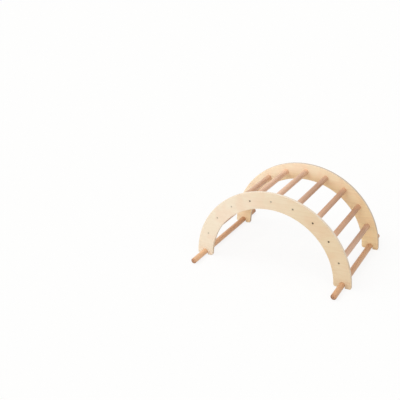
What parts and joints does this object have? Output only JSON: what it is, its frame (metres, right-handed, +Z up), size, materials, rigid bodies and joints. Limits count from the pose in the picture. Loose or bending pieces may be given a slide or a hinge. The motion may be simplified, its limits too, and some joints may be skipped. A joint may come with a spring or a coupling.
{
  "type": "rocker arch",
  "caption": "Half-round wooden climbing arch for small children: plywood side panels tied by round rungs, on floor bars that stick out; turned over it rocks.",
  "frame": {"origin": "on the floor, under the middle of the arch, which is the centre of the side panels' arcs", "axes": "+X along the arch to its right foot, +Y across it to the rear panel, +Z up"},
  "size_m": [0.8598, 0.73, 0.43],
  "materials": {
    "birch_plywood": "clear matt oil",
    "beech_rung": "clear satin oil",
    "beech_floor_bar": "clear satin oil",
    "dark_steel_screw": "dark bronzed steel"
  },
  "bodies": {
    "root": {"front_side_panel": "birch_plywood", "rear_side_panel": "birch_plywood", "rung_1": "beech_rung", "rung_2": "beech_rung", "rung_3": "beech_rung", "rung_4": "beech_rung", "rung_5": "beech_rung", "rung_6": "beech_rung", "rung_7": "beech_rung", "rung_8": "beech_rung", "rung_9": "beech_rung", "left_floor_bar": "beech_floor_bar", "right_floor_bar": "beech_floor_bar", "rung_1_screws": "dark_steel_screw", "rung_2_screws": "dark_steel_screw", "rung_3_screws": "dark_steel_screw", "rung_4_screws": "dark_steel_screw", "rung_5_screws": "dark_steel_screw", "rung_6_screws": "dark_steel_screw", "rung_7_screws": "dark_steel_screw", "rung_8_screws": "dark_steel_screw", "rung_9_screws": "dark_steel_screw", "left_bar_screws": "dark_steel_screw", "right_bar_screws": "dark_steel_screw"}
  },
  "joints": []
}
